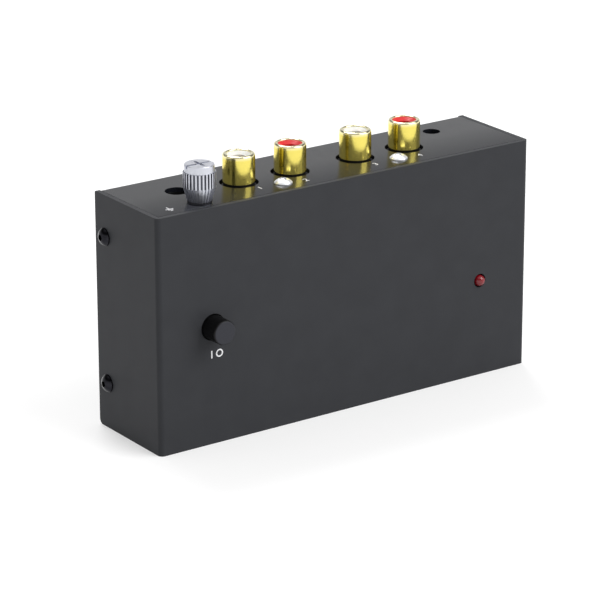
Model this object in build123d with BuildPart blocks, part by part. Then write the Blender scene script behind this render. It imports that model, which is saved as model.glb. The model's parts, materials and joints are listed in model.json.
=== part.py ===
from build123d import *
import os
from math import asin, cos, sin

# Phono preamp in a folded sheet case, standing on one long side with its connector
# panel up.  Millimetres.  X runs along the case, -Y out of the broad cover face,
# +Z out of the connector panel.  The origin is the middle of the face it stands on.

# ------------------------------------------------------------------ case sheets
CASE_LENGTH = 115.0          # X, outside the two cover ends
CASE_DEPTH = 28.5            # Y, cover face to base face
CASE_HEIGHT = 62.0           # Z, standing face to connector panel
SHEET = 1.2                  # thickness of both folded sheets
INNER_BEND = 0.1             # inside radius of every fold
PANEL_CORNER_RADIUS = 0.5    # rounding of the cover ends' free corners, at the connector panel
STANDING_CORNER_RADIUS = 1.4 # and at the standing face
SEAM = 0.1                   # gap where the cover meets the tray
FLANGE_DEPTH = 8.5           # how far the tray's end flanges stand up from the base
FLANGE_RELIEF = 1.0          # gap between an end flange and the tray's side panels

# ------------------------------------------------------------------ fits
THREAD_GAP = 0.02            # radial gap drawn between a screw and its thread
SCREW_GAP = 0.2              # radial gap of a screw's clearance hole
PRESS_GAP = 0.02             # radial gap drawn in a pressed or moulded joint
RUNNING_GAP = 0.05           # radial gap of a part that slides or turns
LEAD_GAP = 0.2               # radial gap of a lead in its board hole
PRINTED_GAP = 0.1            # gap between moulded parts that only sit side by side

# ------------------------------------------------------------------ screw heads and tips
HEAD_RIM = 0.2               # straight rim of a round head, as a share of its height
SCREW_TIP = 0.4              # chamfer of a screw's tip, as a share of its radius
CROSS_ARM = 1.05             # cross recess, as shares of the head's radius and height
CROSS_WIDTH = 0.26
CROSS_DEEP = 0.6

# ------------------------------------------------------------------ end screws, M2.5
END_SCREW_RADIUS = 1.25
END_SCREW_HEAD_RADIUS = 2.35
END_SCREW_HEAD = 1.5         # height of the button head
END_SCREW_LENGTH = 4.4
END_SCREW_SOCKET = 1.5       # across the flats of the hexagon socket
END_SCREW_SOCKET_DEEP = 0.9
END_SCREW_FROM_STANDING = 12.1
END_SCREW_FROM_PANEL = 11.0

# ------------------------------------------------------------------ circuit board
BOARD = 1.6                  # thickness
BOARD_FROM_END = 5.5         # from the outside of a cover end to the board's short edge
BOARD_FROM_STANDING = 3.2    # from the standing face to the board's lower edge
BOARD_FROM_PANEL = 2.0       # from the panel's outside to the board's upper edge
STANDOFF = 2.15              # base plate to board
STANDOFF_RADIUS = 2.5
STANDOFF_SHANK_RADIUS = 1.9  # the part pressed into the base plate
STANDOFF_SUNK = 0.1          # how far the shank stops short of the base face
STANDOFF_FLOOR = 0.4         # what closes the end of its thread
BOARD_SCREW_RADIUS = 1.25
BOARD_SCREW_HEAD_RADIUS = 2.3
BOARD_SCREW_HEAD = 1.5
BOARD_SCREW_LENGTH = 4.0
BOARD_HOLE_FROM_END = 5.0
BOARD_HOLE_FROM_LOWER = 5.0
BOARD_HOLE_FROM_UPPER = 19.0
LEAD_PROUD = 1.0             # how far leads stand out behind the board

# ------------------------------------------------------------------ rubber feet
FOOT_RADIUS = 4.5
FOOT_TIP_RADIUS = 4.1
FOOT_HEIGHT = 2.0
FOOT_FROM_END = 11.0
FOOT_FROM_EDGE = 10.0

# ------------------------------------------------------------------ phono sockets
PAIR_RATIOS = {"input": -0.1447, "output": 0.1674}   # middle of each pair, over the case's length
PAIR_PITCH = 15.6
SOCKET_FROM_MIDDLE = 0.75    # socket axes before the middle of the case's depth
SHELL_RADIUS = 4.15
SHELL_WALL = 1.05
SHELL_NECK_RADIUS = 3.75     # where the shell passes its plastic collar
SHELL_PROUD = 7.65           # panel to the shell's rim
SHELL_SHOULDER = 0.35        # panel to the start of the full radius
SHELL_RIM_FILLET = 0.5
SHELL_FLANGE_RADIUS = 4.6
SHELL_FLANGE_GAP = 0.2       # shell flange to the side wall of the moulding
SHELL_FLANGE = 0.6
LUG_WIDTH = 1.6
LUG = 0.6
COLLAR_RADIUS = 4.7
COLLAR_GAP = 0.3             # radial gap between the collar and the panel hole
COLLAR_SUNK = 0.9            # collar end below the panel's outside
COLLAR_LIP_RADIUS = 3.97     # lip that closes the neck under the shell's shoulder
INSULATOR_SUNK = 0.35        # insulator face below the rim
DISH_DEPTH = 0.7
DISH_RIM = 0.22              # flat rim of the insulator outside its dish
PIN_HOLE_RADIUS = 1.65       # takes the plug's 3.2 mm pin
INSULATOR_LIP_RADIUS = 1.8
INSULATOR_LIP = 0.8
CONTACT_WALL = 0.45
CONTACT_DEPTH = 8.6          # depth of the tube that takes the pin
CONTACT_END = 0.7
CONTACT_TAIL_RADIUS = 0.6
TAIL = 0.8                   # side of the square solder tails
INSULATOR_TAIL = 1.6         # insulator behind the plastic front wall
JACK_FRONT_WALL = 3.4
JACK_WALL = 1.4
JACK_LENGTH = 11.8
JACK_OVER_SCREW = 3.2        # block above the fixing screw's axis
JACK_SCREW_RADIUS = 1.25
JACK_SCREW_HEAD_RADIUS = 2.3
JACK_SCREW_HEAD = 1.35
JACK_SCREW_LENGTH = 7.6
JACK_SCREW_RISE = 7.1        # fixing screw above the socket axes
JACK_SCREW_ASIDE = 0.8       # fixing screw beside the middle of its pair
JACK_BOSS_RADIUS = 2.6

# ------------------------------------------------------------------ power inlet, 5.5 x 2.1
INLET_FROM_END = 16.4
INLET_HEIGHT = 7.3           # axis above the board
INLET_MOUTH_RADIUS = 2.9
INLET_MOUTH = 1.5
INLET_CAVITY_RADIUS = 3.15
INLET_CAVITY = 10.5          # panel's inside to the bottom of the cavity
INLET_PIN_RADIUS = 1.0
INLET_PIN_SUNK = 0.3         # pin tip behind the mouth section
INLET_PIN_FOOT_RADIUS = 1.4
INLET_WIDTH = 9.0
INLET_LENGTH = 13.8
INLET_ROOF = 4.9             # body above the axis
INLET_PANEL_GAP = 0.2        # radial gap from the mouth to the edge of the panel hole
INLET_LEAF = 0.3
INLET_LEAF_WIDTH = 2.4

# ------------------------------------------------------------------ 3.5 mm socket
LINE_FROM_END = 16.0
LINE_HEIGHT = 2.8            # axis above the board
LINE_BORE_RADIUS = 1.8
LINE_BORE = 11.0
LINE_PANEL_RADIUS = 2.3
LINE_WIDTH = 6.4
LINE_TALL = 5.0
LINE_LENGTH = 12.4
LINE_LEAF = 0.3
LINE_LEAF_WIDTH = 1.2
LINE_LEAF_PLACES = (4.5, 7.0, 9.5)   # behind the mouth

# ------------------------------------------------------------------ ground terminal, M3
GROUND_FROM_MIDDLE = 8.2     # terminal axis before the middle of the case's depth
GROUND_SCREW_RADIUS = 1.48
GROUND_SHANK = 6.4
GROUND_NUT_RADIUS = 3.0
GROUND_NUT = 2.2
GROUND_NUT_SHANK_RADIUS = 2.2
GROUND_NUT_SUNK = 0.1
WASHER_RADIUS = 3.1
WASHER = 0.4
WASHER_GAP = 0.12
THUMB_FOOT_RADIUS = 3.1
THUMB_TAPER = 3.6            # height of the cone from the foot to the fluted grip
THUMB_RADIUS = 4.13
THUMB_STRAIGHT = 3.8         # height of the fluted grip
THUMB_BAND = 1.9             # height of the smooth band over the grip
THUMB_TOP_EDGE = 0.15        # chamfer of the band's top edge
THUMB_FLUTES = 28
THUMB_FLUTE = 0.35           # depth of the flutes, and of the grip over the band
THUMB_FLUTE_WIDTH = 0.5
THUMB_SLOT = 0.8
THUMB_SLOT_DEEP = 0.8
THUMB_CROSS = 4.4            # length of the short arm of the cross recess

# ------------------------------------------------------------------ power button
BUTTON_FROM_END = 16.0
BUTTON_RADIUS = 3.2
BUTTON_PROUD = 5.4           # cover face to button end, when out
BUTTON_TRAVEL = 2.5
BUTTON_HOLE_GAP = 0.3
BUTTON_END_FILLET = 0.5
BUTTON_FLANGE_RADIUS = 4.0
BUTTON_FLANGE = 1.0
BUTTON_FLANGE_GAP = 0.3      # flange behind the cover, when out
BUTTON_SOCKET = 4.2          # depth of the socket for the stem
BUTTON_SPARE = 1.4           # button to switch housing, when fully in
SWITCH_SIDE = 8.5
SWITCH_WALL = 0.9
SWITCH_TALL = 9.0
SWITCH_FLOOR = 0.8
SWITCH_FOOT = 2.2            # thickness of the plunger's foot
SWITCH_FOOT_GAP = 0.1        # foot under the housing's roof, when out
STEM = 3.4
STEM_GAP = 0.02
STEM_END_GAP = 0.2
TERMINAL_MARGIN = 1.6        # terminal row to the side of the switch
TERMINAL_PITCH = 2.4
SPRING_RADIUS = 1.5
SPRING_WIRE = 0.2
SPRING_TURNS = 5.0
SPRING_END_GAP = 0.05
BRIDGE = 0.3                 # moving contact strip
BRIDGE_WIDTH = 1.4
LATCH_WIRE_RADIUS = 0.22
LATCH_GROOVE = 0.9           # width of the latch wire's groove in the plunger's foot
LATCH_REACH = 0.5            # how far the wire's tips reach inwards
LATCH_TOP = 2.2              # tips below the roof and above the floor
LATCH_FOOT = 1.2

# ------------------------------------------------------------------ status lamp
LED_FROM_END = 15.4
LED_BELOW_MIDDLE = 4.7       # lamp axis below the middle of the case's height
LED_RADIUS = 1.5
LED_SUNK = 0.2               # dome centre behind the cover face
LED_BARREL = 3.8
LED_RIM_RADIUS = 1.9
LED_RIM = 1.0
LED_HOLE_GAP = 0.35
LED_LEG = 0.5
LED_LEG_PITCH = 2.54
LED_SPACER_RADIUS = 2.3

# ------------------------------------------------------------------ parts on the board
SUPPLY_CAP_RADIUS = 5.0
SUPPLY_CAP = 16.0
SUPPLY_CAP_PLACES = ((-27.0, 8.5), (-14.5, 8.5))
COUPLING_CAP_RADIUS = 3.15
COUPLING_CAP = 11.0
COUPLING_CAP_PLACES = ((-3.0, 7.0), (6.0, 7.0), (15.0, 7.0), (24.0, 7.0))
CAP_FILLET = 0.6
CAP_WAIST = 1.8              # crimped groove above the board
CAP_LEAD_RADIUS = 0.3
SUPPLY_CAP_PITCH = 5.0
COUPLING_CAP_PITCH = 2.5
FILM_CAP = (7.2, 2.6, 6.5)   # length, thickness, height
FILM_CAP_PITCH = 5.0
FILM_CAP_PLACES = ((-2.0, 15.5), (12.0, 15.5), (26.0, 15.5), (34.0, 8.0))
CHIP = (9.6, 6.4, 3.3)       # length, width, height
CHIP_STAND = 0.5
CHIP_NOTCH_RADIUS = 0.8
CHIP_NOTCH_DEEP = 0.5
CHIP_PLACES = ((3.0, 25.0), (26.0, 25.0))
CHIP_PIN_PITCH = 2.54
CHIP_PIN_ROW = 7.62
CHIP_PIN = 0.5
REGULATOR_RADIUS = 2.4
REGULATOR = 5.0
REGULATOR_FLAT = 0.8         # depth of the flat that is cut off the round body
REGULATOR_STAND = 2.0
REGULATOR_PLACES = ((-26.0, 21.0), (-16.0, 21.0))
REGULATOR_PITCH = 1.27
AXIAL_FILLET = 0.3
RESISTOR_RADIUS = 0.9
RESISTOR = 3.6
RESISTOR_PITCH = 7.5
AXIAL_LEAD_RADIUS = 0.25
RESISTOR_STAND = 1.2         # axis above the board
RESISTOR_UPS = (32.5, 35.6)
RESISTOR_PLACES = (-27.0, -17.0, -7.0, 15.0, 25.0, 35.0)
DIODE_RADIUS = 1.35
DIODE = 5.2
DIODE_PITCH = 10.0
DIODE_STAND = 1.6
DIODE_FROM_END = 15.5
DIODE_UP = 12.0

# ------------------------------------------------------------------ worked-out places
OUTER_BEND = INNER_BEND + SHEET
END_X = CASE_LENGTH / 2
END_INNER_X = END_X - SHEET
TRAY_END_X = END_INNER_X - SEAM
COVER_FACE_Y = -CASE_DEPTH / 2
COVER_INNER_Y = COVER_FACE_Y + SHEET
BASE_FACE_Y = CASE_DEPTH / 2
BASE_INNER_Y = BASE_FACE_Y - SHEET
TRAY_FRONT_Y = COVER_INNER_Y + SEAM
PANEL_INNER_Z = CASE_HEIGHT - SHEET
END_SCREW_Y = BASE_FACE_Y - FLANGE_DEPTH / 2
END_SCREW_ZS = (END_SCREW_FROM_STANDING, CASE_HEIGHT - END_SCREW_FROM_PANEL)
BOARD_BACK_Y = BASE_INNER_Y - STANDOFF
BOARD_Y = BOARD_BACK_Y - BOARD            # the component face
BOARD_LOW_Z = BOARD_FROM_STANDING
BOARD_HIGH_Z = CASE_HEIGHT - BOARD_FROM_PANEL
LEAD_END_Y = BOARD_BACK_Y + LEAD_PROUD
BOARD_END_X = END_X - BOARD_FROM_END
BOARD_HOLE_X = BOARD_END_X - BOARD_HOLE_FROM_END
BOARD_HOLE_ZS = (BOARD_LOW_Z + BOARD_HOLE_FROM_LOWER, BOARD_HIGH_Z - BOARD_HOLE_FROM_UPPER)
PAIR_PLACES = {pair: ratio * CASE_LENGTH for pair, ratio in PAIR_RATIOS.items()}
SOCKET_Y = -SOCKET_FROM_MIDDLE
JACK_SCREW_Y = SOCKET_Y - JACK_SCREW_RISE
RIM_Z = CASE_HEIGHT + SHELL_PROUD
INLET_X = -END_X + INLET_FROM_END
INLET_Y = BOARD_Y - INLET_HEIGHT
LINE_X = END_X - LINE_FROM_END
LINE_Y = BOARD_Y - LINE_HEIGHT
GROUND_Y = -GROUND_FROM_MIDDLE
BUTTON_X = -END_X + BUTTON_FROM_END
BUTTON_Z = CASE_HEIGHT / 2
LED_X = END_X - LED_FROM_END
LED_Z = CASE_HEIGHT / 2 - LED_BELOW_MIDDLE
DIODE_X = -END_X + DIODE_FROM_END

board_places = [(x, z) for x in (-BOARD_HOLE_X, BOARD_HOLE_X) for z in BOARD_HOLE_ZS]
foot_places = [
    (x, z)
    for x in (-END_X + FOOT_FROM_END, END_X - FOOT_FROM_END)
    for z in (FOOT_FROM_EDGE, CASE_HEIGHT - FOOT_FROM_EDGE)
]
lead_holes = []              # (x, z, radius) of every drilled lead hole


def facing_cover(y):
    """Plane at depth y: its x is +X, its y is +Z and its normal points at the cover."""
    return Plane.XZ.offset(-y)


def side_of(face):
    """Plane that holds the axis of a face: its x is the face's x, its y the face's normal."""
    return Plane(origin=face.origin, x_dir=face.x_dir, z_dir=face.y_dir * -1)


def lead_hole(x, z, radius):
    """Notes a hole for a lead of this radius, for the board to be drilled with."""
    lead_holes.append((x, z, radius + LEAD_GAP))


def revolved(face, points):
    """Solid turned about a face's axis from its (radius, height) points."""
    with BuildPart() as turned:
        with BuildSketch(side_of(face)):
            with BuildLine():
                Polyline(*points, close=True)
            make_face()
        revolve(axis=Axis(face.origin, face.z_dir))
    return turned.part


def headed_screw(face, radius, length, head_radius, head_height, recess):
    """Round-headed screw whose head stands on a face and whose shank runs in behind it."""
    edge = head_height * HEAD_RIM
    tip = radius * SCREW_TIP
    dome = head_height - edge
    dome_radius = (dome ** 2 + head_radius ** 2) / (2 * dome)
    half_angle = asin(head_radius / dome_radius) / 2
    dome_middle = (dome_radius * sin(half_angle), head_height - dome_radius * (1 - cos(half_angle)))
    with BuildPart() as screw:
        with BuildSketch(side_of(face)):
            with BuildLine():
                Polyline((0, head_height), (0, -length), (radius - tip, -length), (radius, tip - length),
                         (radius, 0), (head_radius, 0), (head_radius, edge))
                ThreePointArc((head_radius, edge), dome_middle, (0, head_height))
            make_face()
        revolve(axis=Axis(face.origin, face.z_dir))
        if recess == "cross":
            with BuildSketch(face.offset(head_height)):
                Rectangle(head_radius * CROSS_ARM, head_radius * CROSS_WIDTH)
                Rectangle(head_radius * CROSS_WIDTH, head_radius * CROSS_ARM)
            extrude(amount=-head_height * CROSS_DEEP, mode=Mode.SUBTRACT)
        else:
            with BuildSketch(face.offset(head_height)):
                RegularPolygon(END_SCREW_SOCKET / 2, 6, major_radius=False)
            extrude(amount=-END_SCREW_SOCKET_DEEP, mode=Mode.SUBTRACT)
    return screw.part


def export(part, name):
    part.label = name
    export_step(part, f"parts/{name}.step")


os.makedirs("parts", exist_ok=True)

# ================================================================== folded sheets
# The cover is one sheet folded into a U: the broad face and the two ends.
with BuildPart() as top_cover:
    with BuildSketch() as cover_fold:
        Rectangle(CASE_LENGTH, CASE_DEPTH)
        fillet(cover_fold.vertices().group_by(Axis.Y)[0], OUTER_BEND)
        with Locations((0, SHEET)):
            Rectangle(CASE_LENGTH - 2 * SHEET, CASE_DEPTH, mode=Mode.SUBTRACT)
        inside = [v for v in cover_fold.vertices() if abs(v.Y - COVER_INNER_Y) < SHEET / 100]
        fillet(inside, INNER_BEND)
    extrude(amount=CASE_HEIGHT)
    free_corners = [e for e in top_cover.edges().filter_by(Axis.X) if e.center().Y > BASE_INNER_Y]
    free_corners = ShapeList(free_corners).group_by(Axis.Z)
    fillet(free_corners[0], STANDING_CORNER_RADIUS)
    fillet(free_corners[-1], PANEL_CORNER_RADIUS)
    with BuildSketch(facing_cover(COVER_FACE_Y)):
        with Locations((BUTTON_X, BUTTON_Z)):
            Circle(BUTTON_RADIUS + BUTTON_HOLE_GAP)
        with Locations((LED_X, LED_Z)):
            Circle(LED_RADIUS + LED_HOLE_GAP)
    extrude(amount=-2 * SHEET, mode=Mode.SUBTRACT)
    with BuildSketch(Plane.YZ):
        with Locations(*[(END_SCREW_Y, z) for z in END_SCREW_ZS]):
            Circle(END_SCREW_RADIUS + SCREW_GAP)
    extrude(amount=CASE_LENGTH, both=True, mode=Mode.SUBTRACT)
export(top_cover.part, "top_cover")

# The tray is folded the other way: connector panel, base, standing panel, end flanges.
with BuildPart() as folded_tray:
    tray_depth = BASE_FACE_Y - TRAY_FRONT_Y
    with BuildSketch(Plane.YZ) as tray_fold:
        with Locations(((BASE_FACE_Y + TRAY_FRONT_Y) / 2, CASE_HEIGHT / 2)):
            Rectangle(tray_depth, CASE_HEIGHT)
        fillet(tray_fold.vertices().group_by(Axis.X)[-1], OUTER_BEND)
        with Locations(((BASE_FACE_Y + TRAY_FRONT_Y) / 2 - SHEET, CASE_HEIGHT / 2)):
            Rectangle(tray_depth, CASE_HEIGHT - 2 * SHEET, mode=Mode.SUBTRACT)
        inside = [v for v in tray_fold.vertices() if abs(v.X - BASE_INNER_Y) < SHEET / 100]
        fillet(inside, INNER_BEND)
    extrude(amount=TRAY_END_X, both=True)
    flange_height = CASE_HEIGHT - 2 * SHEET - 2 * FLANGE_RELIEF
    with BuildSketch(facing_cover(BASE_INNER_Y)):
        with Locations((TRAY_END_X - SHEET / 2, CASE_HEIGHT / 2), (SHEET / 2 - TRAY_END_X, CASE_HEIGHT / 2)):
            Rectangle(SHEET, flange_height)
    extrude(amount=FLANGE_DEPTH - SHEET)
    with BuildSketch(Plane.YZ):
        with Locations(*[(END_SCREW_Y, z) for z in END_SCREW_ZS]):
            Circle(END_SCREW_RADIUS + THREAD_GAP)
    extrude(amount=CASE_LENGTH, both=True, mode=Mode.SUBTRACT)
    with BuildSketch(Plane.XY.offset(CASE_HEIGHT)):
        for pair_x in PAIR_PLACES.values():
            with Locations((pair_x - PAIR_PITCH / 2, SOCKET_Y), (pair_x + PAIR_PITCH / 2, SOCKET_Y)):
                Circle(COLLAR_RADIUS + COLLAR_GAP)
            with Locations((pair_x + JACK_SCREW_ASIDE, JACK_SCREW_Y)):
                Circle(JACK_SCREW_RADIUS + SCREW_GAP)
        with Locations((INLET_X, INLET_Y)):
            Circle(INLET_MOUTH_RADIUS + INLET_PANEL_GAP)
        with Locations((LINE_X, LINE_Y)):
            Circle(LINE_PANEL_RADIUS)
        with Locations((INLET_X, GROUND_Y)):
            Circle(GROUND_NUT_SHANK_RADIUS + PRESS_GAP)
    extrude(amount=-2 * SHEET, mode=Mode.SUBTRACT)
    with BuildSketch(facing_cover(BASE_FACE_Y)):
        with Locations(*board_places):
            Circle(STANDOFF_SHANK_RADIUS + PRESS_GAP)
    extrude(amount=2 * SHEET, mode=Mode.SUBTRACT)

# The one folded sheet is kept as two nodes, which meet at the foot of the connector panel's bend.
bend_foot = Plane.XY.offset(PANEL_INNER_Z - INNER_BEND)
with BuildPart() as base_tray:
    add(folded_tray.part)
    split(bisect_by=bend_foot, keep=Keep.BOTTOM)
export(base_tray.part, "base_tray")

with BuildPart() as connector_panel:
    add(folded_tray.part)
    split(bisect_by=bend_foot, keep=Keep.TOP)
export(connector_panel.part, "connector_panel")

# Four button-head screws hold the cover's ends to the tray's flanges.
with BuildPart() as cover_screws:
    for outwards, end_x in ((-1, -END_X), (1, END_X)):
        for z in END_SCREW_ZS:
            head_face = Plane(origin=(end_x, END_SCREW_Y, z), x_dir=(0, 1, 0), z_dir=(outwards, 0, 0))
            add(headed_screw(head_face, END_SCREW_RADIUS, END_SCREW_LENGTH,
                             END_SCREW_HEAD_RADIUS, END_SCREW_HEAD, "hexagon"))
export(cover_screws.part, "cover_screws")

with BuildPart() as rubber_feet:
    for x, z in foot_places:
        foot_face = Plane(origin=(x, BASE_FACE_Y, z), x_dir=(1, 0, 0), z_dir=(0, 1, 0))
        add(revolved(foot_face, [
            (0, 0), (FOOT_RADIUS, 0), (FOOT_TIP_RADIUS, FOOT_HEIGHT), (0, FOOT_HEIGHT)]))
export(rubber_feet.part, "rubber_feet")

# ================================================================== phono sockets
shell_inner = SHELL_RADIUS - SHELL_WALL
insulator_radius = shell_inner - PRESS_GAP
jack_wall_z = PANEL_INNER_Z - JACK_FRONT_WALL          # back of the plastic front wall
insulator_face_z = RIM_Z - INSULATOR_SUNK
insulator_back_z = jack_wall_z - INSULATOR_TAIL
dish_z = insulator_face_z - DISH_DEPTH
contact_mouth_z = dish_z - INSULATOR_LIP
contact_radius = PIN_HOLE_RADIUS + CONTACT_WALL
contact_floor_z = contact_mouth_z - CONTACT_DEPTH
contact_back_z = contact_floor_z - CONTACT_END
tail_z = insulator_back_z - TAIL
jack_bottom_y = BOARD_Y
jack_top_y = JACK_SCREW_Y - JACK_OVER_SCREW
jack_width = PAIR_PITCH + 2 * (SHELL_FLANGE_RADIUS + SHELL_FLANGE_GAP + JACK_WALL)


def socket_shell(x):
    """Gold shell of one socket, with the flange and lug that ground it to the board."""
    lug_y = (SOCKET_Y + shell_inner + PRESS_GAP + LEAD_END_Y) / 2
    lug_length = LEAD_END_Y - SOCKET_Y - shell_inner - PRESS_GAP
    flange_back_z = jack_wall_z - SHELL_FLANGE
    with BuildPart() as shell:
        add(revolved(Plane.XY.move(Location((x, SOCKET_Y, 0))), [
            (shell_inner, flange_back_z), (SHELL_FLANGE_RADIUS, flange_back_z),
            (SHELL_FLANGE_RADIUS, jack_wall_z), (SHELL_NECK_RADIUS, jack_wall_z),
            (SHELL_NECK_RADIUS, CASE_HEIGHT + SHELL_SHOULDER), (SHELL_RADIUS, CASE_HEIGHT + SHELL_SHOULDER),
            (SHELL_RADIUS, RIM_Z), (shell_inner, RIM_Z)]))
        rim = shell.edges().filter_by(GeomType.CIRCLE).group_by(Axis.Z)[-1].sort_by(SortBy.RADIUS)
        fillet(rim[-1], SHELL_RIM_FILLET)
        fillet(rim[0], SHELL_RIM_FILLET / 2)
        with BuildSketch(Plane.XY.offset(flange_back_z)):
            with Locations((x, lug_y)):
                Rectangle(LUG_WIDTH, lug_length)
        extrude(amount=-LUG)
    lead_hole(x, flange_back_z - LUG / 2, (LUG_WIDTH ** 2 + LUG ** 2) ** 0.5 / 2)
    return shell.part


def socket_insulator(x):
    """Coloured insulator: dished face, lipped hole, and a bore for the centre contact."""
    bore = contact_radius + PRESS_GAP
    return revolved(Plane.XY.move(Location((x, SOCKET_Y, 0))), [
        (bore, insulator_back_z), (insulator_radius, insulator_back_z),
        (insulator_radius, insulator_face_z), (insulator_radius - DISH_RIM, insulator_face_z),
        (INSULATOR_LIP_RADIUS, dish_z), (INSULATOR_LIP_RADIUS, contact_mouth_z), (bore, contact_mouth_z)])


def socket_contact(x):
    """Centre contact: a tube for the plug's pin, closed behind, with a solder tail."""
    with BuildPart() as contact:
        add(revolved(Plane.XY.move(Location((x, SOCKET_Y, 0))), [
            (0, tail_z - TAIL / 2), (CONTACT_TAIL_RADIUS, tail_z - TAIL / 2),
            (CONTACT_TAIL_RADIUS, contact_back_z), (contact_radius, contact_back_z),
            (contact_radius, contact_mouth_z), (PIN_HOLE_RADIUS, contact_mouth_z),
            (PIN_HOLE_RADIUS, contact_floor_z), (0, contact_floor_z)]))
        with BuildSketch(facing_cover(LEAD_END_Y)):
            with Locations((x, tail_z)):
                Rectangle(TAIL, TAIL)
        extrude(amount=LEAD_END_Y - SOCKET_Y)
    lead_hole(x, tail_z, TAIL / 2 ** 0.5)
    return contact.part


def jack_body(pair_x):
    """Black moulding that holds two sockets and takes the fixing screw between them."""
    socket_places = [(pair_x - PAIR_PITCH / 2, SOCKET_Y), (pair_x + PAIR_PITCH / 2, SOCKET_Y)]
    middle = (pair_x, (jack_bottom_y + jack_top_y) / 2)
    tall = jack_bottom_y - jack_top_y
    with BuildPart() as body:
        with BuildSketch(Plane.XY.offset(PANEL_INNER_Z)):
            with Locations(middle):
                Rectangle(jack_width, tall)
        extrude(amount=-JACK_LENGTH)
        with BuildSketch(Plane.XY.offset(jack_wall_z)):
            with Locations((middle[0], middle[1] + JACK_WALL)):
                Rectangle(jack_width - 2 * JACK_WALL, tall)
        extrude(amount=-JACK_LENGTH, mode=Mode.SUBTRACT)
        with BuildSketch(Plane.XY.offset(PANEL_INNER_Z)):
            with Locations(*socket_places):
                Circle(COLLAR_RADIUS)
        extrude(amount=SHEET - COLLAR_SUNK)
        with BuildSketch(Plane.XY.offset(CASE_HEIGHT - COLLAR_SUNK)):
            with Locations(*socket_places):
                Circle(COLLAR_LIP_RADIUS)
        extrude(amount=COLLAR_SUNK + SHELL_SHOULDER - PRESS_GAP)
        with BuildSketch(Plane.XY.offset(jack_wall_z)):
            with Locations((pair_x + JACK_SCREW_ASIDE, JACK_SCREW_Y)):
                Circle(JACK_BOSS_RADIUS)
        extrude(amount=JACK_FRONT_WALL + SHEET - JACK_SCREW_LENGTH)
        with BuildSketch(Plane.XY.offset(CASE_HEIGHT + SHELL_SHOULDER)):
            with Locations(*socket_places):
                Circle(SHELL_NECK_RADIUS + PRESS_GAP)
            with Locations((pair_x + JACK_SCREW_ASIDE, JACK_SCREW_Y)):
                Circle(JACK_SCREW_RADIUS + THREAD_GAP)
        extrude(amount=-JACK_LENGTH - SHEET - SHELL_SHOULDER, mode=Mode.SUBTRACT)
    return body.part


sides = {"left": -PAIR_PITCH / 2, "right": PAIR_PITCH / 2}
for pair, pair_x in PAIR_PLACES.items():
    export(jack_body(pair_x), f"{pair}_jack_body")
    for side, shift in sides.items():
        export(socket_shell(pair_x + shift), f"{pair}_{side}_shell")
        export(socket_insulator(pair_x + shift), f"{pair}_{side}_insulator")
        export(socket_contact(pair_x + shift), f"{pair}_{side}_contact")

with BuildPart() as jack_screws:
    for pair_x in PAIR_PLACES.values():
        head_face = Plane.XY.move(Location((pair_x + JACK_SCREW_ASIDE, JACK_SCREW_Y, CASE_HEIGHT)))
        add(headed_screw(head_face, JACK_SCREW_RADIUS, JACK_SCREW_LENGTH,
                         JACK_SCREW_HEAD_RADIUS, JACK_SCREW_HEAD, "cross"))
export(jack_screws.part, "jack_screws")

# ================================================================== power inlet
inlet_mouth_back_z = PANEL_INNER_Z - INLET_MOUTH
inlet_floor_z = PANEL_INNER_Z - INLET_CAVITY
inlet_back_z = PANEL_INNER_Z - INLET_LENGTH
inlet_roof_y = INLET_Y - INLET_ROOF
leaf_y = INLET_Y + INLET_CAVITY_RADIUS + INLET_LEAF / 2
inlet_tail_z = inlet_back_z - TAIL / 2

with BuildPart() as dc_inlet_body:
    with BuildSketch(Plane.XY.offset(PANEL_INNER_Z)):
        with Locations((INLET_X, (BOARD_Y + inlet_roof_y) / 2)):
            Rectangle(INLET_WIDTH, BOARD_Y - inlet_roof_y)
    extrude(amount=-INLET_LENGTH)
    with BuildSketch(Plane.XY.offset(PANEL_INNER_Z)):
        with Locations((INLET_X, INLET_Y)):
            Circle(INLET_MOUTH_RADIUS)
    extrude(amount=-INLET_MOUTH, mode=Mode.SUBTRACT)
    with BuildSketch(Plane.XY.offset(inlet_mouth_back_z)):
        with Locations((INLET_X, INLET_Y)):
            Circle(INLET_CAVITY_RADIUS)
    extrude(amount=inlet_floor_z - inlet_mouth_back_z, mode=Mode.SUBTRACT)
    with BuildSketch(Plane.XY.offset(inlet_floor_z)):
        with Locations((INLET_X, INLET_Y)):
            Circle(INLET_PIN_FOOT_RADIUS + PRESS_GAP)
    extrude(amount=-INLET_LENGTH, mode=Mode.SUBTRACT)
    slot_y = (INLET_Y + leaf_y + INLET_LEAF / 2 + PRINTED_GAP) / 2
    with BuildSketch(Plane.XY.offset(inlet_mouth_back_z)):
        with Locations((INLET_X, slot_y)):
            Rectangle(INLET_LEAF_WIDTH + 2 * PRINTED_GAP, 2 * (slot_y - INLET_Y))
    extrude(amount=inlet_floor_z - inlet_mouth_back_z, mode=Mode.SUBTRACT)
    with BuildSketch(Plane.XY.offset(inlet_floor_z + LUG + PRINTED_GAP)):
        with Locations((INLET_X, BOARD_Y)):
            Rectangle(INLET_LEAF_WIDTH + 2 * PRINTED_GAP, 2 * (BOARD_Y - leaf_y))
    extrude(amount=-LUG - 2 * PRINTED_GAP, mode=Mode.SUBTRACT)
export(dc_inlet_body.part, "dc_inlet_body")

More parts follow.
